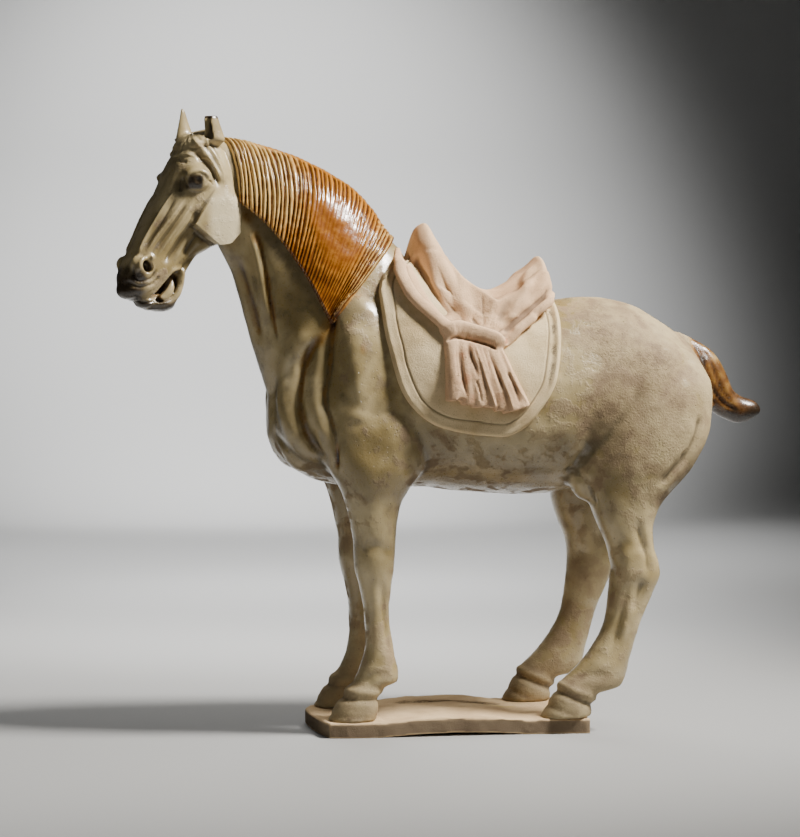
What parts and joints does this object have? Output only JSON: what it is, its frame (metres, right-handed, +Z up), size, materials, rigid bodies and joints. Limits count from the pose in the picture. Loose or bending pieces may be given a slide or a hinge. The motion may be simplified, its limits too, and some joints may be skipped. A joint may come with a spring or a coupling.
{
  "type": "glazed pottery horse on a slab base",
  "caption": "Glazed pottery horse with a combed mane, saddle cloth and draped saddle, standing square on a thin clay slab, its head turned to its left.",
  "frame": {"origin": "middle of the bounding box, on the plane that the slab stands on", "axes": "+Z up; the horse faces -X; its left side is towards -Y"},
  "size_m": [0.5274, 0.1716, 0.4926],
  "materials": {
    "glaze": "gloss, worn to matt on the rump",
    "bare_clay": "unglazed matt"
  },
  "bodies": {
    "root": {"horse": "glaze", "base_slab": "bare_clay"}
  },
  "joints": []
}
